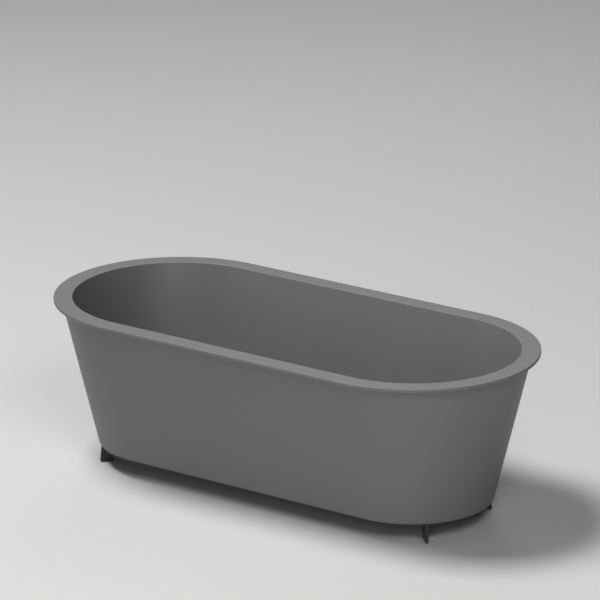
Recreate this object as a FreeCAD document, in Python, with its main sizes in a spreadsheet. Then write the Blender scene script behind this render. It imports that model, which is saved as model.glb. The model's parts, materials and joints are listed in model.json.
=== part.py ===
import FreeCAD, Part
import math
import os
import Sketcher
from FreeCAD import Placement, Rotation, Vector

# Freestanding bathtub: a cast basin with a flat rim, a tapered outer shell bonded under the rim, a steel
# base ring on four fin-shaped feet, and a waste with a rising plug and a swivelling trap under the floor.
# Millimetres. +Z is up, X runs along the tub, and the origin is on the floor below the waste.
# Every horizontal outline is the same stadium, moved inwards: two half circles joined by straight sides.

SIZES = {
    # Rim and body
    "overall_length": 1700,
    "overall_width": 800,
    "overall_height": 554,
    "rim_width": 60,
    "lip_thickness": 10,
    "lip_overhang": 26,
    "rim_edge_radius": 2,
    "wall_lean": 113,
    "body_lift": 66,
    # Outer shell
    "shell_wall": 12,
    "shell_foot_height": 18,
    "shell_foot_width": 57,
    # Basin
    "basin_wall": 12,
    "basin_depth": 414,
    "basin_corner_radius": 70,
    "floor_thickness": 19,
    "floor_fall": 6,
    "floor_fall_radius": 180,
    # Base ring and cross beams
    "ring_inset": 6,
    "ring_width": 54,
    "ring_thickness": 10,
    "ring_edge": 0.8,
    "beam_spacing": 520,
    "beam_width": 40,
    "beam_height": 30,
    "beam_wall": 2,
    "block_length": 50,
    "block_width": 36,
    "block_spacing": 260,
    # Feet
    "foot_thickness": 10,
    "foot_toe": 5,
    "foot_sole": 43,
    "foot_head": 50,
    "foot_edge": 1,
    "pad_thickness": 4,
    "pad_inset": 1,
    # Bolts that hold the ring to the shell
    "bolt_spacing": 360,
    "bolt_radius": 4,
    "bolt_head_radius": 7.5,
    "bolt_head_height": 5.3,
    "bolt_clearance": 0.5,
    "washer_radius": 8,
    "washer_thickness": 1.6,
    "insert_radius": 6,
    "insert_length": 14,
    "bolt_tip_gap": 2,
    # Waste
    "flange_reach": 12,
    "flange_thickness": 3,
    "flange_edge": 0.8,
    "flange_recess_gap": 0.5,
    "flange_seal_thickness": 1.5,
    "tail_radius": 24,
    "tail_wall": 2.5,
    "tail_length": 42,
    "tail_hole_gap": 2,
    "thread_gap": 0.15,
    "gasket_reach": 12,
    "gasket_thickness": 4,
    "lock_nut_reach": 13,
    "lock_nut_height": 9,
    "cross_arm_width": 3,
    "cross_arm_height": 5,
    "cross_drop": 36,
    "cross_boss_radius": 9.5,
    # Plug
    "plug_inset": 3,
    "plug_skirt": 2,
    "plug_thickness": 4.5,
    "plug_edge_radius": 3,
    "plug_gap": 0.4,
    "plug_seal_reach": 2.5,
    "plug_seal_thickness": 1.6,
    "stem_radius": 4,
    "stem_length": 30,
    "running_gap": 0.3,
    "cartridge_radius": 7,
    "cartridge_drop": 8,
    "cartridge_length": 38,
    "cartridge_floor": 1.5,
    "spring_radius": 3.1,
    "spring_wire": 0.5,
    "spring_turns": 7,
    "spring_gap": 0.1,
    # Trap
    "inlet_wall": 3,
    "inlet_step": 1,
    "union_seal_thickness": 1.6,
    "collar_reach": 2,
    "collar_thickness": 3,
    "union_nut_wall": 7,
    "union_nut_grip": 9,
    "union_nut_lip": 3,
    "nut_rib_radius": 2,
    "trap_radius": 56,
    "trap_wall": 3,
    "trap_bottom": 8,
    "trap_top": 76,
    "lid_rim": 2,
    "lid_thickness": 4,
    "lid_spigot": 5,
    "lid_spigot_wall": 2.5,
    "dip_end": 20,
    "outlet_height": 50,
    "outlet_reach": 86,
    "outlet_wall": 3.7,
    "outlet_nut_wall": 7,
    "outlet_nut_grip": 14,
    "outlet_nut_lip": 4,
    "outlet_seal_length": 6,
    "pipe_radius": 20,
    "pipe_wall": 2.5,
    "pipe_insert": 16,
    "elbow_radius": 24,
    "elbow_straight": 8,
    "spigot_length": 18,
}

# Places and lengths that follow from the sizes, as spreadsheet expressions.
ARC_CENTRE = "(sizes.overall_length - sizes.overall_width) / 2"
SHELL_TOP = "(sizes.overall_height - sizes.lip_thickness)"
LEAN = f"sizes.wall_lean / ({SHELL_TOP} - sizes.body_lift)"
TAPER = f"atan({LEAN})"
BASE_INSET = "(sizes.lip_overhang + sizes.wall_lean)"
SHELL_FOOT_TOP = "(sizes.body_lift + sizes.shell_foot_height)"
SHELL_FOOT_INSET = f"({BASE_INSET} - sizes.shell_foot_height * {LEAN})"
FLOOR = "(sizes.overall_height - sizes.basin_depth)"
DRAIN = f"({FLOOR} - sizes.floor_fall)"
UNDERSIDE = f"({FLOOR} - sizes.floor_thickness)"
BASIN_INSET = f"(sizes.rim_width + sizes.lip_thickness * {LEAN} - sizes.basin_wall)"
RING_BOTTOM = "(sizes.body_lift - sizes.ring_thickness)"
RING_OUTER = f"(sizes.overall_width / 2 - {BASE_INSET} - sizes.ring_inset)"
RING_INNER = f"({RING_OUTER} - sizes.ring_width)"
BOLT_LINE = f"({RING_OUTER} - sizes.ring_width / 2)"
BEAM_TOP = f"({RING_BOTTOM} + sizes.beam_height)"
RECESS_FLOOR = f"({DRAIN} - sizes.flange_thickness - sizes.flange_seal_thickness)"
TAIL_END = f"({DRAIN} - sizes.tail_length)"
TAIL_BORE = "(sizes.tail_radius - sizes.tail_wall)"
THREAD = "(sizes.tail_radius + sizes.thread_gap)"
FLANGE_RADIUS = "(sizes.tail_radius + sizes.flange_reach)"
GASKET_RADIUS = "(sizes.tail_radius + sizes.gasket_reach)"
LOCK_NUT_TOP = f"({UNDERSIDE} - sizes.gasket_thickness)"
PLUG_RADIUS = f"({FLANGE_RADIUS} - sizes.plug_inset)"
SEAL_RADIUS = "(sizes.tail_radius + sizes.plug_seal_reach)"
SEAL_BOTTOM = f"({DRAIN} + sizes.plug_gap)"
SEAL_TOP = f"({SEAL_BOTTOM} + sizes.plug_seal_thickness)"
CARTRIDGE_TOP = f"({DRAIN} - sizes.cartridge_drop)"
CARTRIDGE_BOTTOM = f"({CARTRIDGE_TOP} - sizes.cartridge_length)"
CARTRIDGE_BORE = "(sizes.stem_radius + sizes.running_gap)"
STEM_BOTTOM = f"({SEAL_TOP} - sizes.stem_length)"
SPRING_BOTTOM = f"({CARTRIDGE_BOTTOM} + sizes.cartridge_floor + sizes.spring_wire + sizes.spring_gap)"
INLET_RADIUS = "(sizes.tail_radius - sizes.inlet_step)"
INLET_BORE = f"({INLET_RADIUS} - sizes.inlet_wall)"
COLLAR_RADIUS = "(sizes.tail_radius + sizes.collar_reach)"
COLLAR_TOP = f"({TAIL_END} - sizes.union_seal_thickness - sizes.running_gap)"
COLLAR_BOTTOM = f"({COLLAR_TOP} - sizes.collar_thickness)"
UNION_LIP_TOP = f"({COLLAR_BOTTOM} - sizes.running_gap)"
UNION_NUT_RADIUS = "(sizes.tail_radius + sizes.union_nut_wall)"
OUTLET_BORE = "(sizes.pipe_radius + sizes.running_gap)"
OUTLET_OUTER = f"({OUTLET_BORE} + sizes.outlet_wall)"
OUTLET_NUT_RADIUS = f"({OUTLET_OUTER} + sizes.outlet_nut_wall)"
OUTLET_LIP_END = "(sizes.outlet_reach + sizes.outlet_seal_length + sizes.outlet_nut_lip)"
ELBOW_CENTRE = f"({OUTLET_LIP_END} + sizes.elbow_straight)"

doc = FreeCAD.newDocument("bathtub")
sizes = doc.addObject("Spreadsheet::Sheet", "sizes")
parts = []


def fill_sheet():
    """Writes each size to a row of the sheet: its name in column A, its number in column B."""
    for row, (alias, number) in enumerate(SIZES.items(), start=1):
        sizes.set(f"A{row}", alias)
        sizes.set(f"B{row}", str(number))
        sizes.setAlias(f"B{row}", alias)
    doc.recompute()


def value(expression):
    """The number that an expression gives now."""
    result = sizes.evalExpression(expression)
    return float(getattr(result, "Value", result))


def bind(item, **expressions):
    """Ties properties to expressions. A double underscore in a name stands for a dot."""
    for name, expression in expressions.items():
        item.setExpression(name.replace("__", "."), expression)
    return item


def part(item, label):
    """Names a finished sub-part and keeps it for the export."""
    item.Label = label
    parts.append(item)
    return item


# ---- Building blocks ----


def body(name):
    return doc.addObject("PartDesign::Body", name + "_body")


def origin_plane(owner, role):
    return next(feature for feature in owner.Origin.OriginFeatures if feature.Role == role)


def empty_sketch(owner, name, role):
    sketch = owner.newObject("Sketcher::SketchObject", name)
    sketch.AttachmentSupport = (origin_plane(owner, role), [""])
    sketch.MapMode = "FlatFace"
    return sketch


def dimension(sketch, name, expression, *constraint):
    """Adds a driving dimension with a name and ties it to an expression."""
    index = sketch.addConstraint(Sketcher.Constraint(*constraint, value(expression)))
    sketch.renameConstraint(index, name)
    sketch.setExpression("Constraints." + name, expression)


def stadium(owner, name, height, inset):
    """The tub's outline at a height, moved inwards from the rim's outer edge by inset."""
    sketch = empty_sketch(owner, name, "XY_Plane")
    bind(sketch, AttachmentOffset__Base__z=height)
    radius_now = value(f"sizes.overall_width / 2 - {inset}")
    centre_now = value(ARC_CENTRE)
    quarter = math.pi / 2
    for side in (1, -1):
        start = Vector(-side * centre_now, -side * radius_now, 0)
        end = Vector(side * centre_now, -side * radius_now, 0)
        centre = Vector(side * centre_now, 0, 0)
        circle = Part.Circle(centre, Vector(0, 0, 1), radius_now)
        first = -quarter if side > 0 else quarter
        sketch.addGeometry(Part.LineSegment(start, end))
        sketch.addGeometry(Part.ArcOfCircle(circle, first, first + 2 * quarter))
    for edge in range(4):
        sketch.addConstraint(Sketcher.Constraint("Tangent", edge, 2, (edge + 1) % 4, 1))
    sketch.addConstraint(Sketcher.Constraint("Equal", 1, 3))
    sketch.addConstraint(Sketcher.Constraint("Symmetric", 1, 3, 3, 3, -1, 1))
    sketch.addConstraint(Sketcher.Constraint("PointOnObject", 1, 3, -1))
    dimension(sketch, "centres", f"2 * {ARC_CENTRE}", "DistanceX", 3, 3, 1, 3)
    dimension(sketch, "end_radius", f"sizes.overall_width / 2 - {inset}", "Radius", 1)
    return sketch


def profile(owner, name, corners):
    """A closed outline of straight edges on the XZ plane: each corner is (distance from Z, height)."""
    sketch = empty_sketch(owner, name, "XZ_Plane")
    points = [Vector(value(across), value(up), 0) for across, up in corners]
    count = len(points)
    for index in range(count):
        sketch.addGeometry(Part.LineSegment(points[index], points[(index + 1) % count]))
    for index in range(count):
        sketch.addConstraint(Sketcher.Constraint("Coincident", index, 2, (index + 1) % count, 1))
    for index, (across, up) in enumerate(corners):
        if across == "0":
            sketch.addConstraint(Sketcher.Constraint("PointOnObject", index, 1, -2))
        else:
            dimension(sketch, f"across_{index}", across, "DistanceX", -1, 1, index, 1)
        dimension(sketch, f"height_{index}", up, "DistanceY", -1, 1, index, 1)
    return sketch


def pad(owner, name, sketch, length, taper="0", down=False):
    feature = owner.newObject("PartDesign::Pad", name)
    feature.Profile = sketch
    feature.Reversed = down
    return bind(feature, Length=length, TaperAngle=taper)


def pocket(owner, name, sketch, length, taper="0", up=False):
    feature = owner.newObject("PartDesign::Pocket", name)
    feature.Profile = sketch
    feature.Reversed = up
    return bind(feature, Length=length, TaperAngle=taper)


def turn(owner, name, kind, sketch):
    """A Revolution or a Groove of a sketch, all the way round Z."""
    feature = owner.newObject("PartDesign::" + kind, name)
    feature.Profile = sketch
    feature.ReferenceAxis = (sketch, ["V_Axis"])
    feature.Angle = 360
    return feature


def level_edges(shape, height):
    """The names of the edges that lie level at a height."""
    near = 0.01
    return [
        f"Edge{index}"
        for index, edge in enumerate(shape.Edges, start=1)
        if abs(edge.BoundBox.ZMin - height) < near and abs(edge.BoundBox.ZMax - height) < near
    ]


def dress(owner, name, kind, base, edges, size):
    """A Fillet or a Chamfer on named edges of the feature before it."""
    feature = owner.newObject("PartDesign::" + kind, name)
    feature.Base = (base, edges)
    return bind(feature, **{"Radius" if kind == "Fillet" else "Size": size})


def turned(label, corners):
    """A sub-part turned round Z from a profile."""
    owner = body(label)
    turn(owner, label + "_turn", "Revolution", profile(owner, label + "_profile", corners))
    return owner


def cylinder(name, radius, bottom, height, x="0", y="0"):
    shape = doc.addObject("Part::Cylinder", name)
    return bind(
        shape,
        Radius=radius,
        Height=height,
        Placement__Base__x=x,
        Placement__Base__y=y,
        Placement__Base__z=bottom,
    )


def box(name, length, width, height, x, y, z):
    """A block whose middle is at x, y and whose underside is at z."""
    shape = doc.addObject("Part::Box", name)
    return bind(
        shape,
        Length=length,
        Width=width,
        Height=height,
        Placement__Base__x=f"{x} - ({length}) / 2",
        Placement__Base__y=f"{y} - ({width}) / 2",
        Placement__Base__z=z,
    )


def ring(name, outer, inner, bottom, height, x="0", y="0"):
    """A flat washer shape."""
    cut = doc.addObject("Part::Cut", name)
    cut.Base = cylinder(name + "_outside", outer, bottom, height, x, y)
    cut.Tool = cylinder(name + "_inside", inner, bottom, height, x, y)
    return cut


def hexagon(name, radius, bottom, height, x="0", y="0"):
    shape = doc.addObject("Part::Prism", name)
    shape.Polygon = 6
    return bind(
        shape,
        Circumradius=radius,
        Height=height,
        Placement__Base__x=x,
        Placement__Base__y=y,
        Placement__Base__z=bottom,
    )


def fuse(name, pieces):
    joined = doc.addObject("Part::MultiFuse", name)
    joined.Shapes = pieces
    return joined


def group(name, pieces):
    """Separate solids kept together in one sub-part."""
    together = doc.addObject("Part::Compound", name)
    together.Links = pieces
    return together


def cut(name, base, tool):
    result = doc.addObject("Part::Cut", name)
    result.Base = base
    result.Tool = tool
    return result


# ---- Basin, with the rim in one casting ----


def make_basin():
    owner = body("basin")
    pad(owner, "basin_rim", stadium(owner, "rim_outline", SHELL_TOP, "0"), "sizes.lip_thickness")
    wall_outline = stadium(owner, "basin_outline", SHELL_TOP, BASIN_INSET)
    pad(owner, "basin_block", wall_outline, f"{SHELL_TOP} - {UNDERSIDE}", f"-{TAPER}", down=True)
    well_outline = stadium(owner, "well_outline", "sizes.overall_height", "sizes.rim_width")
    well = pocket(owner, "basin_well", well_outline, "sizes.basin_depth", f"-{TAPER}")
    doc.recompute()
    floor_edges = level_edges(well.Shape, value(FLOOR))
    corner = dress(owner, "well_corner", "Fillet", well, floor_edges, "sizes.basin_corner_radius")
    doc.recompute()
    under_edges = level_edges(corner.Shape, value(UNDERSIDE))
    outer_radius = "sizes.basin_corner_radius + sizes.basin_wall"
    outside = dress(owner, "basin_corner", "Fillet", corner, under_edges, outer_radius)
    doc.recompute()
    rim_edges = level_edges(outside.Shape, value("sizes.overall_height"))
    dress(owner, "rim_edges", "Fillet", outside, rim_edges, "sizes.rim_edge_radius")
    doc.recompute()
    above = f"({FLOOR} + 1)"
    recess_radius = f"({FLANGE_RADIUS} + sizes.flange_recess_gap)"
    hole_radius = "(sizes.tail_radius + sizes.tail_hole_gap)"
    waste_seat = profile(
        owner,
        "waste_seat",
        [
            ("0", f"{UNDERSIDE} - 1"),
            (hole_radius, f"{UNDERSIDE} - 1"),
            (hole_radius, RECESS_FLOOR),
            (recess_radius, RECESS_FLOOR),
            (recess_radius, f"{DRAIN} + sizes.floor_fall * {recess_radius} / sizes.floor_fall_radius"),
            ("sizes.floor_fall_radius", FLOOR),
            ("sizes.floor_fall_radius", above),
            ("0", above),
        ],
    )
    turn(owner, "floor_fall_and_waste_seat", "Groove", waste_seat)
    part(owner, "basin")


# ---- Outer shell: a tapered skirt with an inward foot that takes the frame's bolts ----


def bolt_places():
    """The frame's bolts: one at each end of the ring and three along each side."""
    places = [(f"{side} * ({ARC_CENTRE} + {BOLT_LINE})", "0") for side in (-1, 1)]
    for step in (-1, 0, 1):
        places += [(f"{step} * sizes.bolt_spacing", f"{side} * {BOLT_LINE}") for side in (-1, 1)]
    return places


def bolt_holes(name, radius, bottom, height):
    drills = [
        cylinder(f"{name}_{index}", radius, bottom, height, x, y)
        for index, (x, y) in enumerate(bolt_places())
    ]
    return group(name, drills)


def make_outer_shell():
    owner = body("outer_shell")
    base = stadium(owner, "shell_outline", "sizes.body_lift", BASE_INSET)
    pad(owner, "shell_block", base, f"{SHELL_TOP} - sizes.body_lift", TAPER)
    inside = stadium(owner, "shell_inside", SHELL_FOOT_TOP, f"({SHELL_FOOT_INSET} + sizes.shell_wall)")
    pocket(owner, "shell_hollow", inside, f"{SHELL_TOP} - {SHELL_FOOT_TOP}", TAPER, up=True)
    opening = stadium(owner, "foot_opening", "sizes.body_lift", f"({BASE_INSET} + sizes.shell_foot_width)")
    pocket(owner, "shell_foot_opening", opening, "sizes.shell_foot_height", up=True)
    bores = bolt_holes(
        "insert_bores", "sizes.insert_radius + sizes.thread_gap", "sizes.body_lift", "sizes.insert_length"
    )
    part(cut("outer_shell", owner, bores), "outer_shell")


def make_insert_nuts():
    nuts = [
        ring(
            f"insert_{index}",
            "sizes.insert_radius",
            "sizes.bolt_radius + sizes.thread_gap",
            "sizes.body_lift",
            "sizes.insert_length",
            x,
            y,
        )
        for index, (x, y) in enumerate(bolt_places())
    ]
    part(group("insert_nuts", nuts), "insert_nuts")


# ---- Steel base: ring, cross beams, bolts and washers ----


def make_base_ring():
    owner = body("base_ring")
    inset = f"({BASE_INSET} + sizes.ring_inset)"
    pad(owner, "ring_plate", stadium(owner, "ring_outline", RING_BOTTOM, inset), "sizes.ring_thickness")
    inside = stadium(owner, "ring_inside", RING_BOTTOM, f"({inset} + sizes.ring_width)")
    opening = pocket(owner, "ring_opening", inside, "sizes.ring_thickness", up=True)
    doc.recompute()
    edges = level_edges(opening.Shape, value(RING_BOTTOM))
    edges += level_edges(opening.Shape, value("sizes.body_lift"))
    dress(owner, "ring_edges", "Chamfer", opening, edges, "sizes.ring_edge")
    holes = bolt_holes(
        "ring_holes", "sizes.bolt_radius + sizes.bolt_clearance", RING_BOTTOM, "sizes.ring_thickness"
    )
    part(cut("base_ring", owner, holes), "base_ring")


def make_cross_beam(side, label):
    """A rectangular tube welded between the long sides of the ring."""
    x = f"{side} * sizes.beam_spacing / 2"
    length = f"2 * {RING_INNER}"
    wall = "2 * sizes.beam_wall"
    tube = box(f"{label}_tube", "sizes.beam_width", length, "sizes.beam_height", x, "0", RING_BOTTOM)
    bore = box(
        f"{label}_bore",
        f"sizes.beam_width - {wall}",
        length,
        f"sizes.beam_height - {wall}",
        x,
        "0",
        f"{RING_BOTTOM} + sizes.beam_wall",
    )
    part(cut(label, tube, bore), label)


def make_support_block(x_side, y_side, label):
    """A rubber block between a cross beam and the underside of the basin."""
    x = f"{x_side} * sizes.beam_spacing / 2"
    y = f"{y_side} * sizes.block_spacing / 2"
    height = f"{UNDERSIDE} - {BEAM_TOP}"
    part(box(label, "sizes.block_width", "sizes.block_length", height, x, y, BEAM_TOP), label)


def make_frame_bolts():
    head_bottom = f"({RING_BOTTOM} - sizes.washer_thickness - sizes.bolt_head_height)"
    shank = f"sizes.body_lift + sizes.insert_length - sizes.bolt_tip_gap - {head_bottom}"
    bolts = []
    for index, (x, y) in enumerate(bolt_places()):
        height = "sizes.bolt_head_height"
        head = hexagon(f"head_{index}", "sizes.bolt_head_radius", head_bottom, height, x, y)
        thread = cylinder(f"thread_{index}", "sizes.bolt_radius", head_bottom, shank, x, y)
        bolts.append(fuse(f"bolt_{index}", [head, thread]))
    part(group("frame_bolts", bolts), "frame_bolts")


def make_frame_washers():
    washers = [
        ring(
            f"washer_{index}",
            "sizes.washer_radius",
            "sizes.bolt_radius + sizes.thread_gap",
            f"{RING_BOTTOM} - sizes.washer_thickness",
            "sizes.washer_thickness",
            x,
            y,
        )
        for index, (x, y) in enumerate(bolt_places())
    ]
    part(group("frame_washers", washers), "frame_washers")


# ---- Feet: steel fins on the diagonals of the round ends, on rubber pads ----

FOOT_TOE = f"({RING_OUTER} + sizes.foot_toe)"


def aim_foot(owner, x_side, y_side):
    """Turns a foot drawn along +X to its diagonal and moves it to the centre of its round end."""
    angle = math.degrees(math.atan2(y_side, x_side))
    owner.Placement = Placement(Vector(0, 0, 0), Rotation(Vector(0, 0, 1), angle))
    bind(owner, Placement__Base__x=f"{x_side} * {ARC_CENTRE}")


def upright_plate(owner, name, corners, thickness):
    feature = pad(owner, name, profile(owner, name + "_profile", corners), thickness)
    feature.Midplane = True
    return feature


def make_foot(x_side, y_side, place):
    owner = body(f"foot_{place}")
    fin = upright_plate(
        owner,
        f"fin_{place}",
        [
            (f"{FOOT_TOE} - sizes.foot_sole", "sizes.pad_thickness"),
            (FOOT_TOE, "sizes.pad_thickness"),
            (RING_OUTER, RING_BOTTOM),
            (f"{RING_OUTER} - sizes.foot_head", RING_BOTTOM),
        ],
        "sizes.foot_thickness",
    )
    doc.recompute()
    # The two long edges of the sloping outer face.
    far = value(RING_OUTER) - 0.01
    outer_edges = [
        f"Edge{index}"
        for index, edge in enumerate(fin.Shape.Edges, start=1)
        if edge.BoundBox.XMin > far and edge.BoundBox.ZLength > 1
    ]
    dress(owner, f"fin_edges_{place}", "Chamfer", fin, outer_edges, "sizes.foot_edge")
    aim_foot(owner, x_side, y_side)
    part(owner, f"foot_{place}")


def make_foot_pad(x_side, y_side, place):
    owner = body(f"foot_pad_{place}")
    inner = f"{FOOT_TOE} - sizes.foot_sole + sizes.pad_inset"
    outer = f"{FOOT_TOE} - sizes.pad_inset"
    corners = [(inner, "0"), (outer, "0"), (outer, "sizes.pad_thickness"), (inner, "sizes.pad_thickness")]
    upright_plate(owner, f"pad_{place}", corners, "sizes.foot_thickness - 2 * sizes.pad_inset")
    aim_foot(owner, x_side, y_side)
    part(owner, f"foot_pad_{place}")


# ---- Waste: flange and tail, seals and lock nut ----


def make_waste_flange():
    flange = turned(
        "waste_flange",
        [
            (TAIL_BORE, TAIL_END),
            ("sizes.tail_radius", TAIL_END),
            ("sizes.tail_radius", f"{DRAIN} - sizes.flange_thickness"),
            (FLANGE_RADIUS, f"{DRAIN} - sizes.flange_thickness"),
            (FLANGE_RADIUS, f"{DRAIN} - sizes.flange_edge"),
            (f"{FLANGE_RADIUS} - sizes.flange_edge", DRAIN),
            ("sizes.tail_radius", DRAIN),
            (TAIL_BORE, f"{DRAIN} - sizes.tail_wall"),
        ],
    )
    cross_bottom = f"{DRAIN} - sizes.cross_drop"
    reach = f"2 * {TAIL_BORE} + sizes.tail_wall"
    pieces = [flange]
    for name, length, width in (
        ("cross_arm_x", reach, "sizes.cross_arm_width"),
        ("cross_arm_y", "sizes.cross_arm_width", reach),
    ):
        pieces.append(box(name, length, width, "sizes.cross_arm_height", "0", "0", cross_bottom))
    boss_height = "2 * sizes.cross_arm_height"
    pieces.append(cylinder("cross_boss", "sizes.cross_boss_radius", cross_bottom, boss_height))
    bore = cylinder("cross_bore", "sizes.cartridge_radius + sizes.thread_gap", cross_bottom, boss_height)
    part(cut("waste_flange", fuse("waste_casting", pieces), bore), "waste_flange")


def make_waste_seals():
    flange_seal = ring(
        "flange_seal",
        f"{FLANGE_RADIUS} - sizes.flange_edge",
        f"{THREAD} + sizes.running_gap",
        RECESS_FLOOR,
        "sizes.flange_seal_thickness",
    )
    part(flange_seal, "flange_seal")
    gasket = ring(
        "under_gasket",
        GASKET_RADIUS,
        f"{THREAD} + sizes.running_gap",
        LOCK_NUT_TOP,
        "sizes.gasket_thickness",
    )
    part(gasket, "under_gasket")


def make_lock_nut():
    bottom = f"{LOCK_NUT_TOP} - sizes.lock_nut_height"
    radius = "sizes.tail_radius + sizes.lock_nut_reach"
    blank = hexagon("lock_nut_blank", radius, bottom, "sizes.lock_nut_height")
    bore = cylinder("lock_nut_bore", THREAD, bottom, "sizes.lock_nut_height")
    part(cut("lock_nut", blank, bore), "lock_nut")


# ---- Plug: cap, seal and stem rise together; the cartridge and its spring stay below ----


def make_plug():
    owner = body("plug_cap")
    top = f"({SEAL_BOTTOM} + sizes.plug_thickness)"
    skirt = f"{PLUG_RADIUS} - sizes.plug_skirt"
    corners = [
        ("0", SEAL_TOP),
        (skirt, SEAL_TOP),
        (skirt, SEAL_BOTTOM),
        (PLUG_RADIUS, SEAL_BOTTOM),
        (PLUG_RADIUS, top),
        ("0", top),
    ]
    cap = turn(owner, "cap_turn", "Revolution", profile(owner, "cap_profile", corners))
    doc.recompute()
    dress(owner, "cap_edge", "Fillet", cap, level_edges(cap.Shape, value(top)), "sizes.plug_edge_radius")
    part(owner, "plug_cap")
    seal = ring(
        "plug_seal",
        SEAL_RADIUS,
        "sizes.stem_radius + sizes.thread_gap",
        SEAL_BOTTOM,
        "sizes.plug_seal_thickness",
    )
    part(seal, "plug_seal")
    part(cylinder("plug_stem", "sizes.stem_radius", STEM_BOTTOM, "sizes.stem_length"), "plug_stem")


def make_cartridge():
    inside_floor = f"{CARTRIDGE_BOTTOM} + sizes.cartridge_floor"
    cartridge = turned(
        "click_cartridge",
        [
            ("0", CARTRIDGE_BOTTOM),
            ("sizes.cartridge_radius", CARTRIDGE_BOTTOM),
            ("sizes.cartridge_radius", CARTRIDGE_TOP),
            (CARTRIDGE_BORE, CARTRIDGE_TOP),
            (CARTRIDGE_BORE, inside_floor),
            ("0", inside_floor),
        ],
    )
    part(cartridge, "click_cartridge")


def make_plug_spring():
    """A coil of round wire between the cartridge's floor and the end of the stem."""
    owner = body("plug_spring")
    wire = empty_sketch(owner, "spring_wire_section", "XZ_Plane")
    centre = Vector(value("sizes.spring_radius"), value(SPRING_BOTTOM), 0)
    wire.addGeometry(Part.Circle(centre, Vector(0, 0, 1), value("sizes.spring_wire")))
    dimension(wire, "coil_radius", "sizes.spring_radius", "DistanceX", -1, 1, 0, 3)
    dimension(wire, "start", SPRING_BOTTOM, "DistanceY", -1, 1, 0, 3)
    dimension(wire, "wire_radius", "sizes.spring_wire", "Radius", 0)
    coil = owner.newObject("PartDesign::AdditiveHelix", "spring_coil")
    coil.Profile = wire
    coil.ReferenceAxis = (wire, ["V_Axis"])
    coil.Mode = "height-turns-angle"
    rise = f"{STEM_BOTTOM} - {SPRING_BOTTOM} - sizes.spring_wire - sizes.spring_gap"
    bind(coil, Height=rise, Turns="sizes.spring_turns")
    part(owner, "plug_spring")


# ---- Trap: union on the tail, lid with dip tube, cup, and an elbow that turns in its outlet ----

NUT_RIBS = 8


def round_a_circle(radius):
    """Places for the grip ribs of a nut, as (across, along) expressions."""
    turns = [2 * math.pi * index / NUT_RIBS for index in range(NUT_RIBS)]
    return [(f"{math.cos(turn):.9f} * {radius}", f"{math.sin(turn):.9f} * {radius}") for turn in turns]


def make_union():
    seal_bottom = f"{TAIL_END} - sizes.union_seal_thickness"
    seal = ring("union_seal", "sizes.tail_radius", INLET_BORE, seal_bottom, "sizes.union_seal_thickness")
    part(seal, "union_seal")
    bottom = f"{UNION_LIP_TOP} - sizes.union_nut_lip"
    top = f"{TAIL_END} + sizes.union_nut_grip"
    neck = f"{INLET_RADIUS} + sizes.running_gap"
    cavity = f"{COLLAR_RADIUS} + sizes.running_gap"
    nut = turned(
        "union_nut_blank",
        [
            (neck, bottom),
            (UNION_NUT_RADIUS, bottom),
            (UNION_NUT_RADIUS, top),
            (THREAD, top),
            (THREAD, TAIL_END),
            (cavity, TAIL_END),
            (cavity, UNION_LIP_TOP),
            (neck, UNION_LIP_TOP),
        ],
    )
    height = f"({top}) - ({bottom})"
    ribs = [
        cylinder(f"union_rib_{index}", "sizes.nut_rib_radius", bottom, height, x, y)
        for index, (x, y) in enumerate(round_a_circle(UNION_NUT_RADIUS))
    ]
    part(fuse("union_nut", [nut] + ribs), "union_nut")


def make_trap_lid():
    """The lid carries the collared inlet above and the dip tube below. Its spigot is welded in the cup."""
    spigot_outer = "sizes.trap_radius - sizes.trap_wall - sizes.thread_gap"
    spigot_inner = f"{spigot_outer} - sizes.lid_spigot_wall"
    spigot_end = "sizes.trap_top - sizes.lid_spigot"
    lid_outer = "sizes.trap_radius + sizes.lid_rim"
    lid_top = "sizes.trap_top + sizes.lid_thickness"
    lid = turned(
        "trap_lid",
        [
            (INLET_BORE, "sizes.dip_end"),
            (INLET_RADIUS, "sizes.dip_end"),
            (INLET_RADIUS, "sizes.trap_top"),
            (spigot_inner, "sizes.trap_top"),
            (spigot_inner, spigot_end),
            (spigot_outer, spigot_end),
            (spigot_outer, "sizes.trap_top"),
            (lid_outer, "sizes.trap_top"),
            (lid_outer, lid_top),
            (INLET_RADIUS, lid_top),
            (INLET_RADIUS, COLLAR_BOTTOM),
            (COLLAR_RADIUS, COLLAR_BOTTOM),
            (COLLAR_RADIUS, COLLAR_TOP),
            (INLET_BORE, COLLAR_TOP),
        ],
    )
    part(lid, "trap_lid")


def lying_cylinder(name, radius, start, length, aside="0", above="0"):
    """A cylinder along +X, on the outlet's axis or beside it."""
    shape = doc.addObject("Part::Cylinder", name)
    shape.Placement = Placement(Vector(0, 0, 0), Rotation(Vector(0, 1, 0), 90))
    return bind(
        shape,
        Radius=radius,
        Height=length,
        Placement__Base__x=start,
        Placement__Base__y=aside,
        Placement__Base__z=f"sizes.outlet_height + {above}",
    )


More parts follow.
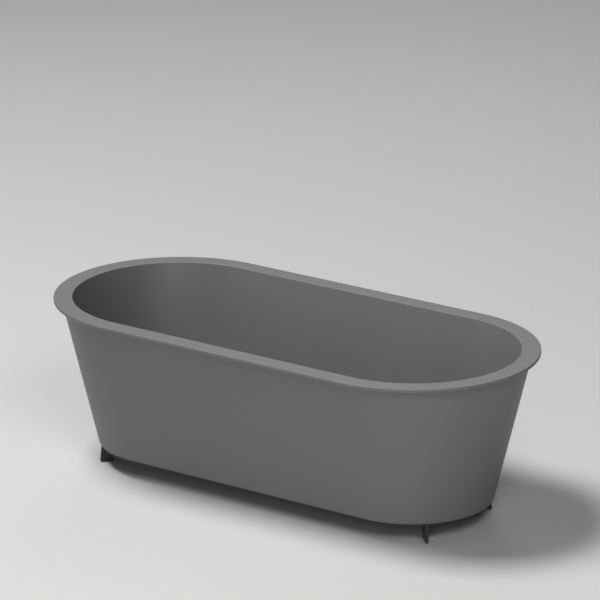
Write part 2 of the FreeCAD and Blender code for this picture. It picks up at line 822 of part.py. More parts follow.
def make_trap_cup():
    inside = "sizes.trap_radius - sizes.trap_wall"
    cup = turned(
        "trap_cup_blank",
        [
            ("0", "sizes.trap_bottom"),
            ("sizes.trap_radius", "sizes.trap_bottom"),
            ("sizes.trap_radius", "sizes.trap_top"),
            (inside, "sizes.trap_top"),
            (inside, "sizes.trap_bottom + sizes.trap_wall"),
            ("0", "sizes.trap_bottom + sizes.trap_wall"),
        ],
    )
    start = f"({inside})"
    outlet = lying_cylinder("outlet_pipe", OUTLET_OUTER, start, f"sizes.outlet_reach - {start}")
    bore = lying_cylinder("outlet_bore", OUTLET_BORE, "0", "sizes.outlet_reach")
    hollow = cylinder("cup_hollow", inside, "sizes.trap_bottom + sizes.trap_wall", "sizes.trap_top")
    pipe_outside = cut("outlet_outside_cup", outlet, hollow)
    part(cut("trap_cup", fuse("trap_moulding", [cup, pipe_outside]), bore), "trap_cup")


def make_outlet_nut_and_seal():
    seal_start = "sizes.outlet_reach"
    seal_length = "sizes.outlet_seal_length"
    seal_outside = lying_cylinder("outlet_seal_outside", OUTLET_OUTER, seal_start, seal_length)
    seal_inside = lying_cylinder("outlet_seal_inside", OUTLET_BORE, seal_start, seal_length)
    part(cut("outlet_seal", seal_outside, seal_inside), "outlet_seal")
    start = "(sizes.outlet_reach - sizes.outlet_nut_grip)"
    lip_start = "(sizes.outlet_reach + sizes.outlet_seal_length)"
    grip = f"{lip_start} - {start}"
    length = f"{grip} + sizes.outlet_nut_lip"
    ribs = [
        lying_cylinder(f"outlet_rib_{index}", "sizes.nut_rib_radius", start, length, aside, above)
        for index, (aside, above) in enumerate(round_a_circle(OUTLET_NUT_RADIUS))
    ]
    solid_nut = lying_cylinder("outlet_nut_solid", OUTLET_NUT_RADIUS, start, length)
    blank = fuse("outlet_nut_blank", [solid_nut] + ribs)
    thread = lying_cylinder("outlet_nut_thread", f"{OUTLET_OUTER} + sizes.thread_gap", start, grip)
    mouth = lying_cylinder("outlet_nut_mouth", OUTLET_BORE, lip_start, "sizes.outlet_nut_lip")
    part(cut("outlet_nut", blank, group("outlet_nut_bore", [thread, mouth])), "outlet_nut")


def pipe_run(name, radius):
    """Straight in along X, a quarter bend, and straight down: the elbow's outside or its bore."""
    start = "(sizes.outlet_reach - sizes.pipe_insert)"
    straight = lying_cylinder(f"{name}_run", radius, start, f"{ELBOW_CENTRE} - {start}")
    bend = doc.addObject("Part::Torus", f"{name}_bend")
    bend.Placement = Placement(Vector(0, 0, 0), Rotation(Vector(1, 0, 0), 90))
    bend.Angle1 = -180
    bend.Angle2 = 180
    bend.Angle3 = 90
    bind(
        bend,
        Radius1="sizes.elbow_radius",
        Radius2=radius,
        Placement__Base__x=ELBOW_CENTRE,
        Placement__Base__z="sizes.outlet_height - sizes.elbow_radius",
    )
    leg_top = "(sizes.outlet_height - sizes.elbow_radius)"
    leg = cylinder(
        f"{name}_leg",
        radius,
        f"{leg_top} - sizes.spigot_length",
        "sizes.spigot_length",
        f"{ELBOW_CENTRE} + sizes.elbow_radius",
    )
    return fuse(name, [straight, bend, leg])


def make_outlet_elbow():
    outside = pipe_run("elbow_outside", "sizes.pipe_radius")
    bore = pipe_run("elbow_bore", "sizes.pipe_radius - sizes.pipe_wall")
    part(cut("outlet_elbow", outside, bore), "outlet_elbow")


# ---- Assembly, check and export ----


def build():
    fill_sheet()
    make_basin()
    make_outer_shell()
    make_insert_nuts()
    make_base_ring()
    make_frame_bolts()
    make_frame_washers()
    for x_side, end in ((-1, "left"), (1, "right")):
        make_cross_beam(x_side, f"cross_beam_{end}")
        for y_side, face in ((-1, "front"), (1, "back")):
            make_support_block(x_side, y_side, f"support_block_{face}_{end}")
            make_foot(x_side, y_side, f"{face}_{end}")
            make_foot_pad(x_side, y_side, f"{face}_{end}")
    make_waste_flange()
    make_waste_seals()
    make_lock_nut()
    make_plug()
    make_cartridge()
    make_plug_spring()
    make_union()
    make_trap_lid()
    make_trap_cup()
    make_outlet_nut_and_seal()
    make_outlet_elbow()
    doc.recompute()


def check():
    """Stops if any object failed or any sub-part isn't a valid solid."""
    for item in doc.Objects:
        if {"Invalid", "Error"} & set(item.State):
            raise RuntimeError(f"{item.Name} failed: {item.State}")
    for item in parts:
        if item.Shape.isNull() or not item.Shape.isValid() or not item.Shape.Solids:
            raise RuntimeError(f"{item.Label} has no valid solid")


def export():
    os.makedirs("parts", exist_ok=True)
    for item in parts:
        item.Shape.exportStep(f"parts/{item.Label}.step")


build()
check()
export()
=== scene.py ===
import json
import math

import bmesh
import bpy
import numpy as np
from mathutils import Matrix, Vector


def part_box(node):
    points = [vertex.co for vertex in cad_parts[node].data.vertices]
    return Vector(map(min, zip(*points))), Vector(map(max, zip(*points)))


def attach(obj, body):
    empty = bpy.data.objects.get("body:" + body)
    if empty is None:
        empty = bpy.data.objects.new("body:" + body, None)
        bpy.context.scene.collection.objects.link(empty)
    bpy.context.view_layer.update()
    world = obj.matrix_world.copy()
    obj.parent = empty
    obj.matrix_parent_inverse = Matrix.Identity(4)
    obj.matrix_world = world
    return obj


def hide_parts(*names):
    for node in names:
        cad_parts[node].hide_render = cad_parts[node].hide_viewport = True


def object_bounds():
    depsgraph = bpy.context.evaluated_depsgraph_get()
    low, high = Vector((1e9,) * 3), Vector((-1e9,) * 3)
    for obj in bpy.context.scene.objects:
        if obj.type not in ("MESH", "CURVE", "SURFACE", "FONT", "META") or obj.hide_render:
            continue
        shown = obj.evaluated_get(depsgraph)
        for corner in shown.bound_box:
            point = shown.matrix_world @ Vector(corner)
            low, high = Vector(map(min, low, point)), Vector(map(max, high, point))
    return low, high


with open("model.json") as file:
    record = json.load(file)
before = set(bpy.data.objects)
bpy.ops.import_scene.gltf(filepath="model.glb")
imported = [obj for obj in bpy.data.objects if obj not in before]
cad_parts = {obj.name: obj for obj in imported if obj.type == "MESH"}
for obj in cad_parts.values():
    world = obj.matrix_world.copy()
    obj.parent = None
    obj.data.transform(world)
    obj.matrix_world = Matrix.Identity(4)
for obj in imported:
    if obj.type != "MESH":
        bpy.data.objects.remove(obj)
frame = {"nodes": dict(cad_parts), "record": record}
cad_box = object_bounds()

# ---- Basin ----
# The well and the flat rim are one casting of grey mineral solid surface, honed to a soft matte finish.
# Its floor falls to the waste in the middle, and the rim's thin lip stands out past the tub's outer wall.

basin_low, basin_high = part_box("basin")
shell_low, shell_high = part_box("outer_shell")
ring_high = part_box("base_ring")[1]
flange_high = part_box("waste_flange")[1]

HALF_WIDTH = basin_high.y
HALF_SPINE = basin_high.x - basin_high.y
RIM_TOP = basin_high.z
RIM_WIDTH = 0.060
LIP_BOTTOM = shell_high.z
BASIN_WALL = 0.012
SHELL_FOOT = ring_high.y + 0.006
WALL_SLOPE = (shell_high.y - SHELL_FOOT) / (shell_high.z - shell_low.z)
WELL_FLOOR = 0.140
WELL_CORNER = 0.070
FLOOR_FALL_RADIUS = 0.180
WASTE_TOP = flange_high.z
WASTE_SEAT = WASTE_TOP - 0.0045
WASTE_RECESS = flange_high.x + 0.0005
WASTE_HOLE = 0.026
SOLID_SURFACE_COLOR = (0.139, 0.137, 0.132)


def rounded(corners, steps=8, hold=0.0004):
    """A closed outline through corners given as (reach, height, spread, radius). Each corner becomes an arc
    of its radius, in equal turns, with one more point a little way along the straight on either side, which
    keeps the flats flat in the shading. Returns rows of (reach, height, spread)."""
    rows = []
    for index, (reach, height, spread, radius) in enumerate(corners):
        corner = complex(reach, height)
        back = complex(*corners[index - 1][:2])
        ahead = complex(*corners[(index + 1) % len(corners)][:2])
        arriving = (corner - back) / abs(corner - back)
        leaving = (ahead - corner) / abs(ahead - corner)
        turn = np.angle(leaving / arriving)
        trim = radius * abs(math.tan(turn / 2))
        start = corner - arriving * trim
        centre = start + arriving * 1j * math.copysign(radius, turn)
        arc = centre + (start - centre) * np.exp(1j * turn * np.linspace(0, 1, steps + 1))
        bend = np.concatenate([[start - arriving * hold], arc, [corner + leaving * (trim + hold)]])
        rows.append(np.stack([bend.real, bend.imag, np.full(bend.size, spread)], axis=1))
    return np.concatenate(rows)


def swept(outline, half_spine=0.0, end_steps=72, side_steps=24):
    """An outline carried round a stadium, or round a circle when the spine has no length. The way round is a
    place on the spine from -1 to 1 and an outward angle. Each point is the spine point times the outline's
    spread, plus the outline's reach along the outward direction."""
    end = np.linspace(-np.pi / 2, np.pi / 2, end_steps + 1)
    side = np.linspace(1, -1, side_steps + 1)[1:-1]
    place = np.concatenate([np.ones(end.size), side, -np.ones(end.size), -side])
    angle = np.concatenate([end, np.full(side.size, np.pi / 2), end + np.pi, np.full(side.size, -np.pi / 2)])
    reach, height, spread = outline.T
    x = half_spine * place[:, None] * spread + np.cos(angle)[:, None] * reach
    y = np.sin(angle)[:, None] * reach
    return np.stack([x, y, np.broadcast_to(height, x.shape)], axis=-1)


def surface(name, *grids, wrap=(True, True), crease=35):
    """One mesh from grids of points, a quad between each four neighbours. Grids close on themselves along
    the directions that wrap, doubled points are merged, faces are turned outwards, and edges that turn by
    more than the crease angle stay crisp."""
    mesh = bpy.data.meshes.new(name)
    points, quads, start = [], [], 0
    for grid in grids:
        rows, columns = grid.shape[:2]
        index = np.arange(rows * columns).reshape(rows, columns) + start
        index = np.concatenate([index, index[:1]]) if wrap[0] else index
        index = np.concatenate([index, index[:, :1]], axis=1) if wrap[1] else index
        corners = [index[:-1, :-1], index[1:, :-1], index[1:, 1:], index[:-1, 1:]]
        quads.append(np.stack(corners, axis=-1).reshape(-1, 4))
        points.append(grid.reshape(-1, 3))
        start += rows * columns
    mesh.from_pydata(np.concatenate(points).tolist(), [], np.concatenate(quads).tolist())
    work = bmesh.new()
    work.from_mesh(mesh)
    bmesh.ops.remove_doubles(work, verts=work.verts, dist=1e-6)
    bmesh.ops.dissolve_degenerate(work, edges=work.edges, dist=1e-7)
    bmesh.ops.recalc_face_normals(work, faces=work.faces)
    work.to_mesh(mesh)
    work.free()
    mesh.shade_smooth()
    mesh.set_sharp_from_angle(angle=math.radians(crease))
    piece = bpy.data.objects.new(name, mesh)
    bpy.context.scene.collection.objects.link(piece)
    return piece


def add(tree, kind, links, **settings):
    """A node with its properties set. A link is either a socket to join or a plain value."""
    node = tree.nodes.new(kind)
    for key, setting in settings.items():
        setattr(node, key, setting)
    for key, source in links.items():
        if isinstance(source, bpy.types.NodeSocket):
            tree.links.new(source, node.inputs[key])
        else:
            node.inputs[key].default_value = source
    return node


def node_group(name, inputs, outputs):
    """An empty shader node group with named sockets, and its input and output nodes."""
    group = bpy.data.node_groups.new(name, "ShaderNodeTree")
    for label, kind, default in inputs:
        socket = group.interface.new_socket(label, in_out="INPUT", socket_type=kind)
        socket.default_value = default
    for label, kind in outputs:
        group.interface.new_socket(label, in_out="OUTPUT", socket_type=kind)
    return group, group.nodes.new("NodeGroupInput").outputs, group.nodes.new("NodeGroupOutput").inputs


# Cloudy tone: broad faint patches and a fine speckle, multiplied into a colour. Every finish here has it.
clouds, clouds_in, clouds_out = node_group(
    "cloudy_tone",
    [
        ("Vector", "NodeSocketVector", (0, 0, 0)),
        ("Color", "NodeSocketColor", (0.5, 0.5, 0.5, 1)),
        ("Patch Scale", "NodeSocketFloat", 5.0),
        ("Patch Amount", "NodeSocketFloat", 0.05),
        ("Speckle Scale", "NodeSocketFloat", 400.0),
        ("Speckle Amount", "NodeSocketFloat", 0.05),
    ],
    [("Color", "NodeSocketColor"), ("Patches", "NodeSocketFloat")],
)
patches = add(
    clouds,
    "ShaderNodeTexNoise",
    {"Vector": clouds_in["Vector"], "Scale": clouds_in["Patch Scale"], "Detail": 4.0, "Roughness": 0.55},
).outputs["Fac"]
speckle = add(
    clouds,
    "ShaderNodeTexNoise",
    {"Vector": clouds_in["Vector"], "Scale": clouds_in["Speckle Scale"], "Detail": 2.0},
).outputs["Fac"]
gains = []
for noise, amount in ((patches, clouds_in["Patch Amount"]), (speckle, clouds_in["Speckle Amount"])):
    centred = add(clouds, "ShaderNodeMath", {0: noise, 1: 0.5}, operation="SUBTRACT").outputs[0]
    doubled = add(clouds, "ShaderNodeMath", {0: centred, 1: 2.0}, operation="MULTIPLY").outputs[0]
    gained = add(clouds, "ShaderNodeMath", {0: doubled, 1: amount, 2: 1.0}, operation="MULTIPLY_ADD")
    gains.append(gained.outputs[0])
gain = add(clouds, "ShaderNodeMath", {0: gains[0], 1: gains[1]}, operation="MULTIPLY").outputs[0]
toned = add(
    clouds, "ShaderNodeVectorMath", {0: clouds_in["Color"], "Scale": gain}, operation="SCALE"
).outputs[0]
clouds.links.new(toned, clouds_out["Color"])
clouds.links.new(patches, clouds_out["Patches"])

# Surface grain: the height of a fine even grain over a slower ripple, for sanded, sprayed or moulded skins.
grain, grain_in, grain_out = node_group(
    "surface_grain",
    [
        ("Vector", "NodeSocketVector", (0, 0, 0)),
        ("Grain Scale", "NodeSocketFloat", 900.0),
        ("Ripple Scale", "NodeSocketFloat", 60.0),
        ("Ripple Share", "NodeSocketFloat", 0.3),
    ],
    [("Height", "NodeSocketFloat")],
)
fine = add(
    grain,
    "ShaderNodeTexNoise",
    {"Vector": grain_in["Vector"], "Scale": grain_in["Grain Scale"], "Detail": 3.0},
).outputs["Fac"]
ripple = add(
    grain,
    "ShaderNodeTexNoise",
    {"Vector": grain_in["Vector"], "Scale": grain_in["Ripple Scale"], "Detail": 1.0},
).outputs["Fac"]
height = add(
    grain, "ShaderNodeMix", {"Factor": grain_in["Ripple Share"], "A": fine, "B": ripple}, data_type="FLOAT"
).outputs["Result"]
grain.links.new(height, grain_out["Height"])

# Rubbed marks: a mask of thin curved hairlines, few and faint, as a cloth and cleaning leave them.
rubs, rubs_in, rubs_out = node_group(
    "rubbed_marks",
    [
        ("Vector", "NodeSocketVector", (0, 0, 0)),
        ("Scale", "NodeSocketFloat", 9.0),
        ("Thinness", "NodeSocketFloat", 60.0),
    ],
    [("Mask", "NodeSocketFloat")],
)
bend = add(
    rubs, "ShaderNodeTexNoise", {"Vector": rubs_in["Vector"], "Scale": rubs_in["Scale"], "Detail": 1.0}
)
across = add(rubs, "ShaderNodeMath", {0: bend.outputs["Fac"], 1: rubs_in["Thinness"]}, operation="MULTIPLY")
wave = add(rubs, "ShaderNodeMath", {0: across.outputs[0]}, operation="SINE")
lines = add(rubs, "ShaderNodeMath", {0: wave.outputs[0], 1: 24.0}, operation="POWER")
sparse = add(rubs, "ShaderNodeTexNoise", {"Vector": rubs_in["Vector"], "Scale": 23.0, "Detail": 2.0})
kept = add(
    rubs,
    "ShaderNodeMapRange",
    {"Value": sparse.outputs["Fac"], "From Min": 0.52, "From Max": 0.66},
)
marks = add(rubs, "ShaderNodeMath", {0: lines.outputs[0], 1: kept.outputs["Result"]}, operation="MULTIPLY")
rubs.links.new(marks.outputs[0], rubs_out["Mask"])


def finish(name, color, roughness, tone, skin, bump, swing=0.06, rub=0.0, metallic=0.0, specular=0.5):
    """A material: cloudy tone on the colour, roughness that follows the patches by the swing and the rubbed
    marks by the rub, and the grain as bump. tone is (patch scale, patch amount, speckle scale, speckle
    amount), skin is (grain scale, ripple scale, ripple share) and bump is (strength, distance)."""
    material = bpy.data.materials.new(name)
    material.use_nodes = True
    tree = material.node_tree
    shader = tree.nodes["Principled BSDF"].inputs
    shader["Metallic"].default_value = metallic
    shader["Specular IOR Level"].default_value = specular
    place = add(tree, "ShaderNodeTexCoord", {}).outputs["Object"]
    cloudy = add(
        tree,
        "ShaderNodeGroup",
        {
            "Vector": place,
            "Color": (*color, 1),
            "Patch Scale": tone[0],
            "Patch Amount": tone[1],
            "Speckle Scale": tone[2],
            "Speckle Amount": tone[3],
        },
        node_tree=clouds,
    ).outputs
    tree.links.new(cloudy["Color"], shader["Base Color"])
    patchy = add(
        tree,
        "ShaderNodeMapRange",
        {
            "Value": cloudy["Patches"],
            "From Min": 0.3,
            "From Max": 0.7,
            "To Min": roughness - swing / 2,
            "To Max": roughness + swing / 2,
        },
    ).outputs["Result"]
    rubbed = add(tree, "ShaderNodeGroup", {"Vector": place}, node_tree=rubs).outputs["Mask"]
    rough = add(tree, "ShaderNodeMath", {0: rubbed, 1: -rub, 2: patchy}, operation="MULTIPLY_ADD").outputs[0]
    tree.links.new(rough, shader["Roughness"])
    grained = add(
        tree,
        "ShaderNodeGroup",
        {"Vector": place, "Grain Scale": skin[0], "Ripple Scale": skin[1], "Ripple Share": skin[2]},
        node_tree=grain,
    ).outputs["Height"]
    bumped = add(tree, "ShaderNodeBump", {"Height": grained, "Strength": bump[0], "Distance": bump[1]})
    tree.links.new(bumped.outputs["Normal"], shader["Normal"])
    return material


def body_of(node):
    """The name of the moving body that holds a CAD node."""
    bodies = frame["record"]["behaviour"]["bodies"]
    return next(body for body, nodes in bodies.items() if node in nodes)


def stands_for(piece, node, material):
    """The piece takes the place of one CAD node and moves with that node's body."""
    piece.data.materials.append(material)
    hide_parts(node)
    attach(piece, body_of(node))


def coat(node, material):
    """The CAD node stays as it is and takes the material."""
    mesh = frame["nodes"][node].data
    mesh.materials.clear()
    mesh.materials.append(material)


solid_surface = finish(
    "grey_solid_surface",
    color=SOLID_SURFACE_COLOR,
    roughness=0.5,
    tone=(4.0, 0.03, 350.0, 0.05),
    skin=(1400.0, 90.0, 0.25),
    bump=(0.12, 0.0004),
    rub=0.08,
)

well_foot = HALF_WIDTH - RIM_WIDTH - (RIM_TOP - WELL_FLOOR) * WALL_SLOPE
wall_out = HALF_WIDTH - RIM_WIDTH - (RIM_TOP - LIP_BOTTOM) * WALL_SLOPE + BASIN_WALL
wall_foot_out = wall_out - (LIP_BOTTOM - basin_low.z) * WALL_SLOPE
recess_edge = WASTE_TOP + (WELL_FLOOR - WASTE_TOP) * WASTE_RECESS / FLOOR_FALL_RADIUS
basin_outline = rounded(
    [
        (WASTE_HOLE, basin_low.z, 0, 0.0008),
        (WASTE_HOLE, WASTE_SEAT, 0, 0.0005),
        (WASTE_RECESS, WASTE_SEAT, 0, 0.0005),
        (WASTE_RECESS, recess_edge, 0, 0.0012),
        (FLOOR_FALL_RADIUS, WELL_FLOOR, 0, 0.3),
        (well_foot, WELL_FLOOR, 1, WELL_CORNER),
        (HALF_WIDTH - RIM_WIDTH, RIM_TOP, 1, 0.0022),
        (HALF_WIDTH, RIM_TOP, 1, 0.0022),
        (HALF_WIDTH, LIP_BOTTOM, 1, 0.0012),
        (wall_out, LIP_BOTTOM, 1, 0.002),
        (wall_foot_out, basin_low.z, 1, WELL_CORNER + BASIN_WALL),
        (0.060, basin_low.z, 0, 0.001),
    ]
)
stands_for(surface("basin_casting", swept(basin_outline, HALF_SPINE)), "basin", solid_surface)

# ---- Outer shell ----
# A tapered skirt of the same material, bonded under the rim. Its inward foot holds the frame's inserts.

SHELL_WALL = 0.012
SHELL_FOOT_TOP = shell_low.z + 0.018
SHELL_FOOT_INNER = SHELL_FOOT - 0.057
foot_top_inside = SHELL_FOOT + (SHELL_FOOT_TOP - shell_low.z) * WALL_SLOPE - SHELL_WALL
shell_outline = rounded(
    [
        (SHELL_FOOT, shell_low.z, 1, 0.0015),
        (shell_high.y, shell_high.z, 1, 0.0004),
        (shell_high.y - SHELL_WALL, shell_high.z, 1, 0.0004),
        (foot_top_inside, SHELL_FOOT_TOP, 1, 0.006),
        (SHELL_FOOT_INNER, SHELL_FOOT_TOP, 1, 0.0015),
        (SHELL_FOOT_INNER, shell_low.z, 1, 0.0015),
    ],
    hold=0.0003,
)
stands_for(surface("outer_skirt", swept(shell_outline, HALF_SPINE)), "outer_shell", solid_surface)

# ---- Insert nuts ----
# Knurled brass inserts, glued into the shell's foot, that take the frame bolts.

brass = finish(
    "turned_brass",
    color=(0.60, 0.42, 0.18),
    roughness=0.3,
    tone=(40.0, 0.12, 900.0, 0.08),
    skin=(1500.0, 300.0, 0.5),
    bump=(0.1, 0.0002),
    rub=0.1,
    metallic=1.0,
)
coat("insert_nuts", brass)

# ---- Base ring ----
# One stadium cut from steel plate, with chamfered edges, sprayed with a near-black textured coat.

powder_coat = finish(
    "black_powder_coat",
    color=(0.018, 0.018, 0.019),
    roughness=0.55,
    tone=(12.0, 0.1, 700.0, 0.2),
    skin=(1600.0, 500.0, 0.6),
    bump=(0.5, 0.0004),
    rub=0.08,
)
coat("base_ring", powder_coat)

# ---- Cross beams ----
# Two lengths of drawn rectangular steel tube with rounded corners, welded across the ring and coated with it.

BEAM_WALL = 0.002
BEAM_CORNER = 0.003

for side in ("left", "right"):
    low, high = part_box(f"cross_beam_{side}")
    walls = []
    for inset, radius in ((0.0, BEAM_CORNER), (BEAM_WALL, BEAM_CORNER - BEAM_WALL)):
        x0, x1, z0, z1 = low.x + inset, high.x - inset, low.z + inset, high.z - inset
        corners = [(x0, z0), (x1, z0), (x1, z1), (x0, z1)]
        walls.append(rounded([(x, z, 0, radius) for x, z in corners]))
    outer, inner = walls
    ends = [(outer, low.y), (outer, high.y), (inner, high.y), (inner, low.y)]
    tube = np.stack([np.stack([wall[:, 0], np.full(len(wall), y), wall[:, 1]], axis=1) for wall, y in ends])
    stands_for(surface(f"beam_tube_{side}", tube), f"cross_beam_{side}", powder_coat)

# ---- Support blocks ----
# Moulded rubber blocks with grooved sides, pressed between the beams and the basin's underside.

BLOCK_CORNER = 0.003
BLOCK_GROOVES = 4
BLOCK_GROOVE_DEPTH = 0.0012

rubber = finish(
    "black_rubber",
    color=(0.02, 0.02, 0.02),
    roughness=0.75,
    tone=(20.0, 0.15, 900.0, 0.2),
    skin=(1200.0, 200.0, 0.4),
    bump=(0.3, 0.0003),
)


def slab(corners, radius, layers):
    """A solid with a rounded outline through the corners. layers are (inset, height) from bottom to top: each
    is the outline moved inwards along its normal, and both faces close on the middle of the outline."""
    outline = rounded([(x, y, 0, radius) for x, y in corners])[:, :2]
    along = np.roll(outline, -1, axis=0) - np.roll(outline, 1, axis=0)
    outward = np.stack([along[:, 1], -along[:, 0]], axis=1) / np.hypot(*along.T)[:, None]
    middle = np.broadcast_to(outline.mean(axis=0), outline.shape)
    flat = [middle] + [outline - outward * inset for inset, _ in layers] + [middle]
    heights = [layers[0][1]] + [z for _, z in layers] + [layers[-1][1]]
    return np.stack([np.column_stack([ring, np.full(len(ring), z)]) for ring, z in zip(flat, heights)])


def soft_edges(low, high, radius, steps=5):
    """The layers of a slab from low to high whose two edges are quarter rounds."""
    turn = np.linspace(0, np.pi / 2, steps + 1)
    lower = [(radius * (1 - math.sin(a)), low + radius * (1 - math.cos(a))) for a in turn]
    return lower + [(inset, high - (z - low)) for inset, z in reversed(lower)]


for place in ("front_left", "back_left", "front_right", "back_right"):
    low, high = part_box(f"support_block_{place}")
    rise = np.linspace(0, 1, 12 * BLOCK_GROOVES + 1)
    groove = BLOCK_GROOVE_DEPTH * np.sin(np.pi * BLOCK_GROOVES * rise) ** 4
    layers = list(zip(groove, low.z + (high.z - low.z) * rise))
    corners = [(low.x, low.y), (high.x, low.y), (high.x, high.y), (low.x, high.y)]
    block = surface(f"grooved_block_{place}", slab(corners, BLOCK_CORNER, layers), wrap=(False, True))
    stands_for(block, f"support_block_{place}", rubber)

# ---- Feet ----
# Four upright fins of steel plate with eased edges, on the diagonals of the round ends. Each is welded to the
# underside of the ring by a rippled bead on both sides, and coated with it.

FIN_THICKNESS = 0.010
FIN_EDGE = 0.0012
FIN_CORNER = 0.002
FIN_SOLE = (0.217, 0.260)
FIN_HEAD = (0.205, 0.255)
BEAD_RADIUS = 0.0028
BEAD_RIPPLE = 0.00025
BEAD_INSET = 0.006


def on_diagonal(grid, place):
    """Moves a grid drawn as (reach, height, across) to the foot's diagonal of its round end."""
    x_side = -1 if "left" in place else 1
    y_side = -1 if "front" in place else 1
    out = np.array([x_side, y_side, 0]) / math.sqrt(2)
    sideways = np.array([-y_side, x_side, 0]) / math.sqrt(2)
    reach, height, across = grid[..., 0:1], grid[..., 1:2], grid[..., 2:3]
    origin = np.array([x_side * HALF_SPINE, 0, 0])
    return origin + reach * out + height * np.array([0, 0, 1]) + across * sideways


for place in ("front_left", "back_left", "front_right", "back_right"):
    low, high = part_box(f"foot_{place}")
    corners = [(FIN_SOLE[0], low.z), (FIN_SOLE[1], low.z), (FIN_HEAD[1], high.z), (FIN_HEAD[0], high.z)]
    layers = soft_edges(-FIN_THICKNESS / 2, FIN_THICKNESS / 2, FIN_EDGE)
    fin = surface(f"fin_{place}", on_diagonal(slab(corners, FIN_CORNER, layers), place), wrap=(False, True))
    stands_for(fin, f"foot_{place}", powder_coat)
    beads = []
    for across in (-FIN_THICKNESS / 2, FIN_THICKNESS / 2):
        run = np.linspace(0, 1, 121)[:, None]
        round_angle = np.linspace(0, 2 * np.pi, 17)[None, :-1]
        taper = np.sqrt(np.clip(1 - (2 * run - 1) ** 8, 0, None))
        radius = (BEAD_RADIUS + BEAD_RIPPLE * np.sin(2 * np.pi * 20 * run)) * taper
        start, end = FIN_HEAD[0] + BEAD_INSET, FIN_HEAD[1] - BEAD_INSET
        reach = start + (end - start) * run + 0 * round_angle
        height = high.z + radius * np.sin(round_angle)
        sideways = across + radius * np.cos(round_angle)
        beads.append(on_diagonal(np.stack([reach, height, sideways], axis=-1), place))
    weld = surface(f"weld_{place}", *beads, wrap=(False, True))
    weld.data.materials.append(powder_coat)
    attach(weld, "tub")

# ---- Foot pads ----
# Thin rubber soles, glued under the fins so that the steel doesn't mark the floor.

PAD_REACH = (0.218, 0.259)
PAD_THICKNESS = 0.008

for place in ("front_left", "back_left", "front_right", "back_right"):
    low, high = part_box(f"foot_pad_{place}")
    half = PAD_THICKNESS / 2
    corners = [(PAD_REACH[0], -half), (PAD_REACH[1], -half), (PAD_REACH[1], half), (PAD_REACH[0], half)]
    sole = slab(corners, 0.002, soft_edges(low.z, high.z, 0.0008))[..., [0, 2, 1]]
    pad = surface(f"sole_{place}", on_diagonal(sole, place), wrap=(False, True))
    stands_for(pad, f"foot_pad_{place}", rubber)

# ---- Frame bolts and washers ----
# Zinc-plated M8 screws with chamfered hexagon heads, and flat washers, up through the ring into the inserts.

RING_INNER = 0.201
BOLT_LINE = (ring_high.y + RING_INNER) / 2
BOLT_SPACING = 0.360
HEAD_APOTHEM = 0.0065
HEAD_HEIGHT = 0.0053
SHANK = 0.004
THREAD_DEPTH = 0.0004
THREAD_PITCH = 0.00125

zinc = finish(
    "zinc_plate",
    color=(0.55, 0.56, 0.57),
    roughness=0.32,
    tone=(60.0, 0.15, 900.0, 0.1),
    skin=(1500.0, 300.0, 0.5),
    bump=(0.15, 0.0002),
    rub=0.1,
    metallic=1.0,
)
low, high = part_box("frame_bolts")
turn = np.linspace(0, 2 * np.pi, 49)[None, :-1]
hexagon = HEAD_APOTHEM / np.cos((turn % (np.pi / 3)) - np.pi / 6)
# The head is the hexagon cut by a cone: reach = min(hexagon, cone), where the cone widens with height.
head_rise = np.array([0, 0, 0.0003, 0.0006, 0.0009, 0.0012, HEAD_HEIGHT, HEAD_HEIGHT])[:, None]
cone = np.array([0, 0.0058, 0.00634, 0.00688, 0.00742, 0.008, 0.008, 0.008])[:, None]
head = np.minimum(hexagon, cone)
# The shank's reach goes in and out along its length, once for each turn of the thread.
shank_rise = np.linspace(0, high.z - low.z - HEAD_HEIGHT, 121)[:, None]
thread = SHANK - THREAD_DEPTH * (0.5 - 0.5 * np.cos(2 * np.pi * shank_rise / THREAD_PITCH)) + 0 * turn
thread[-1] = 0
reach = np.concatenate([head, thread])
rise = np.concatenate([head_rise, HEAD_HEIGHT + shank_rise])
rise[-1] = rise[-2]
screw = np.stack([reach * np.cos(turn), reach * np.sin(turn), low.z + rise + 0 * turn], axis=-1)
spots = [(side * (HALF_SPINE + BOLT_LINE), 0) for side in (-1, 1)]
spots += [(step * BOLT_SPACING, side * BOLT_LINE) for step in (-1, 0, 1) for side in (-1, 1)]
screws = surface("hex_screws", *[screw + np.array([x, y, 0]) for x, y in spots], wrap=(False, True))
stands_for(screws, "frame_bolts", zinc)
coat("frame_washers", zinc)

# ---- Waste ----
# A cast and chromed flange with a threaded tail and a cross that carries the plug's cartridge.

chrome = finish(
    "chrome_plate",
    color=(0.62, 0.63, 0.65),
    roughness=0.12,
    tone=(30.0, 0.03, 900.0, 0.01),
    skin=(2000.0, 60.0, 0.6),
    bump=(0.02, 0.0002),
    swing=0.04,
    rub=0.05,
    metallic=1.0,
)
coat("waste_flange", chrome)
coat("flange_seal", rubber)
coat("under_gasket", rubber)
coat("lock_nut", brass)

# ---- Plug ----
# A pressed and chromed cap over a flat seal, on a stem that clicks up and down in a brass cartridge.

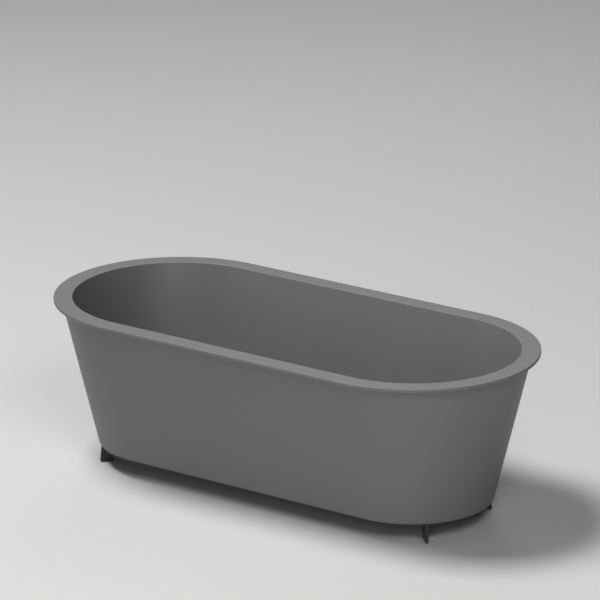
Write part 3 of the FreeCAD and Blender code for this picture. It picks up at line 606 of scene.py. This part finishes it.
plug_low, plug_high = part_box("plug_cap")
PLUG_EDGE = 0.003
PLUG_SKIRT = 0.002
PLUG_DOME = 0.0004
plug_seal_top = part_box("plug_seal")[1].z
plug_outline = rounded(
    [
        (0, plug_seal_top, 0, 0),
        (plug_high.x - PLUG_SKIRT, plug_seal_top, 0, 0.0003),
        (plug_high.x - PLUG_SKIRT, plug_low.z, 0, 0.0005),
        (plug_high.x, plug_low.z, 0, 0.0005),
        (plug_high.x, plug_high.z - PLUG_DOME, 0, PLUG_EDGE),
        (0, plug_high.z, 0, 0),
    ],
    hold=0.0002,
)
plug_outline = plug_outline[plug_outline[:, 0] > 1e-6]
plug_outline = np.vstack([[0, plug_seal_top, 0], plug_outline, [0, plug_high.z, 0]])
plug = surface("plug_dome", swept(plug_outline, side_steps=1), wrap=(True, False))
stands_for(plug, "plug_cap", chrome)
coat("plug_seal", rubber)
coat("plug_stem", chrome)
coat("click_cartridge", brass)

# ---- Plug spring ----
# Cold-drawn stainless wire, coiled round the stem inside the cartridge.

spring_steel = finish(
    "drawn_spring_wire",
    color=(0.50, 0.49, 0.47),
    roughness=0.25,
    tone=(90.0, 0.1, 1200.0, 0.1),
    skin=(2500.0, 600.0, 0.5),
    bump=(0.1, 0.0001),
    metallic=1.0,
)
coat("plug_spring", spring_steel)

# ---- Union nut ----
# A ribbed plastic nut that draws the trap's collar against a rubber seal on the end of the tail.

black_plastic = finish(
    "black_moulded_plastic",
    color=(0.022, 0.022, 0.024),
    roughness=0.42,
    tone=(25.0, 0.1, 800.0, 0.1),
    skin=(1100.0, 150.0, 0.4),
    bump=(0.25, 0.0003),
)
coat("union_nut", black_plastic)
coat("union_seal", rubber)

# ---- Trap ----
# A bottle trap of pale moulded plastic: a lid with the inlet and dip tube, welded to a cup with a side
# outlet.

pale_plastic = finish(
    "pale_moulded_plastic",
    color=(0.62, 0.62, 0.60),
    roughness=0.38,
    tone=(18.0, 0.04, 800.0, 0.03),
    skin=(900.0, 90.0, 0.5),
    bump=(0.15, 0.0003),
)
coat("trap_lid", pale_plastic)
coat("trap_cup", pale_plastic)

# ---- Outlet ----
# The elbow's end is pushed through a rubber seal into the cup's outlet, and a ribbed nut holds it.

coat("outlet_nut", black_plastic)
coat("outlet_seal", rubber)
coat("outlet_elbow", pale_plastic)

# ---- Studio ----
# A plain pale floor, a large soft key light high on the left, and softer fills from the front and back.

FLOOR_SIZE = 120.0

across = np.array([-FLOOR_SIZE / 2, FLOOR_SIZE / 2])
floor_x, floor_y = np.meshgrid(across, across)
floor = surface("floor", np.stack([floor_x, floor_y, 0 * floor_x], axis=-1), wrap=(False, False))
floor.data.materials.append(
    finish(
        "pale_floor",
        color=(0.52, 0.52, 0.51),
        roughness=0.8,
        tone=(0.6, 0.02, 30.0, 0.01),
        skin=(60.0, 5.0, 0.5),
        bump=(0.02, 0.001),
    )
)

world = bpy.data.worlds.new("studio")
world.use_nodes = True
world.node_tree.nodes["Background"].inputs["Color"].default_value = (1, 1, 1, 1)
world.node_tree.nodes["Background"].inputs["Strength"].default_value = 0.02
bpy.context.scene.world = world


def facing(azimuth, elevation):
    """The direction from the tub at an azimuth, where 0 is the front and 90 the right, and an elevation."""
    turn, rise = math.radians(azimuth), math.radians(elevation)
    return Vector((math.sin(turn) * math.cos(rise), -math.cos(turn) * math.cos(rise), math.sin(rise)))


for name, azimuth, elevation, distance, size, power in (
    ("key_light", -60, 68, 9.0, 3.2, 900),
    ("right_fill", 50, 40, 9.0, 3.2, 250),
    ("front_fill", 35, 12, 4.5, 1.6, 42),
    ("left_fill", -45, 12, 9.0, 3.2, 50),
    ("back_light", -150, 40, 9.0, 3.2, 90),
):
    panel = bpy.data.lights.new(name, "AREA")
    panel.shape = "SQUARE"
    panel.size = size
    panel.energy = power
    lamp = bpy.data.objects.new(name, panel)
    away = facing(azimuth, elevation)
    lamp.location = (cad_box[0] + cad_box[1]) / 2 + away * distance
    lamp.rotation_euler = away.to_track_quat("Z", "Y").to_euler()
    bpy.context.scene.collection.objects.link(lamp)

# ---- Camera ----
# A long lens, well back, from the front right and a little above.

CAMERA_AZIMUTH = 35.05
CAMERA_ELEVATION = 18.30
CAMERA_DISTANCE = 13.237
CAMERA_AIM = Vector((0.5052, -0.6829, 0.9022))
CAMERA_LENS = 269.5

camera_data = bpy.data.cameras.new("camera")
camera_data.lens = CAMERA_LENS
camera_data.clip_end = 200
camera = bpy.data.objects.new("camera", camera_data)
back = facing(CAMERA_AZIMUTH, CAMERA_ELEVATION)
camera.location = CAMERA_AIM + back * CAMERA_DISTANCE
camera.rotation_euler = back.to_track_quat("Z", "Y").to_euler()
bpy.context.scene.collection.objects.link(camera)
bpy.context.scene.camera = camera
bpy.context.scene.view_settings.view_transform = "Standard"
